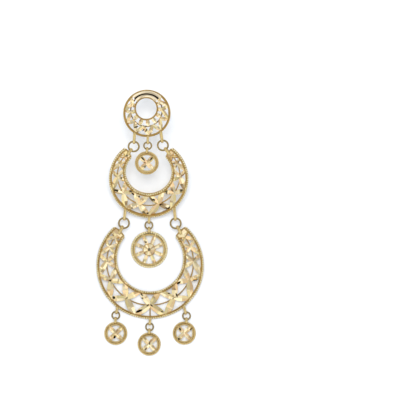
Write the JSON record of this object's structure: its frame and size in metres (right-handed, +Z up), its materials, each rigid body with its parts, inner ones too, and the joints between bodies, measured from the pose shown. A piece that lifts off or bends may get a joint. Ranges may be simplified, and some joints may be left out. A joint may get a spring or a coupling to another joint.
{
  "type": "chandelier earring",
  "caption": "Pierced gold chandelier earring: an ear disc, two lattice crescents, a flower medallion and small round drops on jump rings, laid face up.",
  "frame": {"origin": "on the surface that the earring lies on, under the middle of its bounding box", "axes": "+Z up, out of the earring's face; +Y from the bottom drops towards the ear disc; +X to the right in the face-on view"},
  "size_m": [0.0284, 0.0704, 0.0102],
  "materials": {
    "cut_gold": "bright-cut yellow gold",
    "polished_gold": "polished yellow gold wire"
  },
  "bodies": {
    "root": {"top_disc": "cut_gold", "ear_post": "polished_gold", "top_drop": "cut_gold", "upper_crescent": "cut_gold", "medallion": "cut_gold", "lower_crescent": "cut_gold", "bottom_drop_left": "cut_gold", "bottom_drop_centre": "cut_gold", "bottom_drop_right": "cut_gold", "upper_ring_left": "polished_gold", "top_drop_ring": "polished_gold", "upper_ring_right": "polished_gold", "lower_ring_left": "polished_gold", "medallion_ring": "polished_gold", "lower_ring_right": "polished_gold", "bottom_ring_left": "polished_gold", "bottom_ring_centre": "polished_gold", "bottom_ring_right": "polished_gold"}
  },
  "joints": []
}
